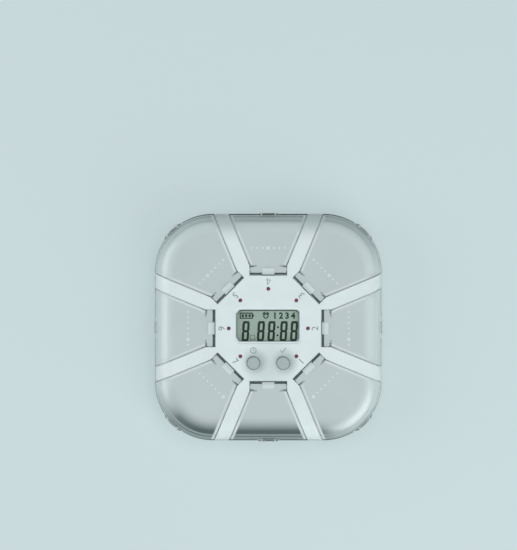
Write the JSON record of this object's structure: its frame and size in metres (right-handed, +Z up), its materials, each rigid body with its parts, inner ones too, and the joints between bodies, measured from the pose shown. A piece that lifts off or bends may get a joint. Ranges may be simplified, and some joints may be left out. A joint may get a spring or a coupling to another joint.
{
  "type": "pill dispenser",
  "caption": "Rounded square pill box with lidded pockets hinged round an octagonal hub that holds a reminder clock, lamps and push buttons.",
  "frame": {"origin": "on the surface that the box stands on, under the middle of the hub", "axes": "+Z up; the front, with the two buttons, faces -Y"},
  "size_m": [0.154, 0.154, 0.0304],
  "materials": {
    "lid_clear": "clear moulded plastic, slightly frosted",
    "tray_clear": "clear moulded plastic",
    "frame_white": "white moulded ABS, satin",
    "tub_white": "white moulded ABS, fine texture",
    "button_grey": "grey moulded ABS",
    "lamp_red": "red tinted epoxy lamp",
    "foot_rubber": "soft light grey pad",
    "cell_jacket": "printed steel can",
    "contact_metal": "nickel plated spring steel",
    "screw_steel": "zinc plated steel",
    "board_green": "solder mask on glass fibre laminate",
    "black_plastic": "black moulded plastic",
    "window_clear": "polished clear plastic",
    "display_glass": "reflective liquid crystal cell, grey green",
    "holder_white": "white moulded plastic",
    "strip_rubber": "layered silicone strip",
    "speaker_metal": "pressed steel frame"
  },
  "bodies": {
    "housing": {"battery_cell_1": "cell_jacket", "battery_cell_2": "cell_jacket", "battery_plates": "contact_metal", "battery_springs": "contact_metal", "board_screws": "screw_steel", "circuit_board": "board_green", "contact_strips": "strip_rubber", "control_chip": "black_plastic", "display_glass": "display_glass", "display_holder": "holder_white", "display_window": "window_clear", "electronics_tub": "tub_white", "foot_1": "foot_rubber", "foot_2": "foot_rubber", "foot_3": "foot_rubber", "foot_4": "foot_rubber", "lamp_1": "lamp_red", "lamp_2": "lamp_red", "lamp_3": "lamp_red", "lamp_4": "lamp_red", "lamp_5": "lamp_red", "lamp_6": "lamp_red", "lamp_7": "lamp_red", "speaker": "speaker_metal", "switch_left": "black_plastic", "switch_right": "black_plastic", "top_frame": "frame_white", "tray": "tray_clear", "tub_screws": "screw_steel"},
    "battery_cover": {"battery_cover": "tub_white"},
    "button_left": {"button_left": "button_grey"},
    "button_right": {"button_right": "button_grey"},
    "lid_1": {"lid_1": "lid_clear"},
    "lid_2": {"lid_2": "lid_clear"},
    "lid_3": {"lid_3": "lid_clear"},
    "lid_4": {"lid_4": "lid_clear"},
    "lid_5": {"lid_5": "lid_clear"},
    "lid_6": {"lid_6": "lid_clear"},
    "lid_7": {"lid_7": "lid_clear"},
    "lid_spare": {"lid_spare": "lid_clear"}
  },
  "joints": [
    {"name": "lid_1_hinge", "type": "hinge", "parent": "housing", "child": "lid_1", "pos_m": [0.02765, -0.02765, 0.028], "axis": [0.7071, 0.7071, 0], "range_deg": [-95, 0]},
    {"name": "lid_2_hinge", "type": "hinge", "parent": "housing", "child": "lid_2", "pos_m": [0.0391, 0, 0.028], "axis": [0, -1, 0], "range_deg": [0, 95]},
    {"name": "lid_3_hinge", "type": "hinge", "parent": "housing", "child": "lid_3", "pos_m": [0.02765, 0.02765, 0.028], "axis": [-0.7071, 0.7071, 0], "range_deg": [-95, 0]},
    {"name": "lid_4_hinge", "type": "hinge", "parent": "housing", "child": "lid_4", "pos_m": [0, 0.0391, 0.028], "axis": [1, 0, 0], "range_deg": [0, 95]},
    {"name": "lid_5_hinge", "type": "hinge", "parent": "housing", "child": "lid_5", "pos_m": [-0.02765, 0.02765, 0.028], "axis": [-0.7071, -0.7071, 0], "range_deg": [-95, 0]},
    {"name": "lid_6_hinge", "type": "hinge", "parent": "housing", "child": "lid_6", "pos_m": [-0.0391, 0, 0.028], "axis": [0, 1, 0], "range_deg": [0, 95]},
    {"name": "lid_7_hinge", "type": "hinge", "parent": "housing", "child": "lid_7", "pos_m": [-0.02765, -0.02765, 0.028], "axis": [0.7071, -0.7071, 0], "range_deg": [-95, 0]},
    {"name": "lid_spare_hinge", "type": "hinge", "parent": "housing", "child": "lid_spare", "pos_m": [0, -0.0391, 0.028], "axis": [-1, 0, 0], "range_deg": [0, 95]},
    {"name": "button_left_press", "type": "slide", "parent": "housing", "child": "button_left", "axis": [0, 0, -1], "range_m": [0, 0.0006], "stiffness_N_per_m": 1500, "springref_m": -0.0002},
    {"name": "button_right_press", "type": "slide", "parent": "housing", "child": "button_right", "axis": [0, 0, -1], "range_m": [0, 0.0006], "stiffness_N_per_m": 1500, "springref_m": -0.0002},
    {"name": "battery_cover_lift", "type": "slide", "parent": "housing", "child": "battery_cover", "axis": [0, 0, -1], "range_m": [0, 0.012]}
  ]
}
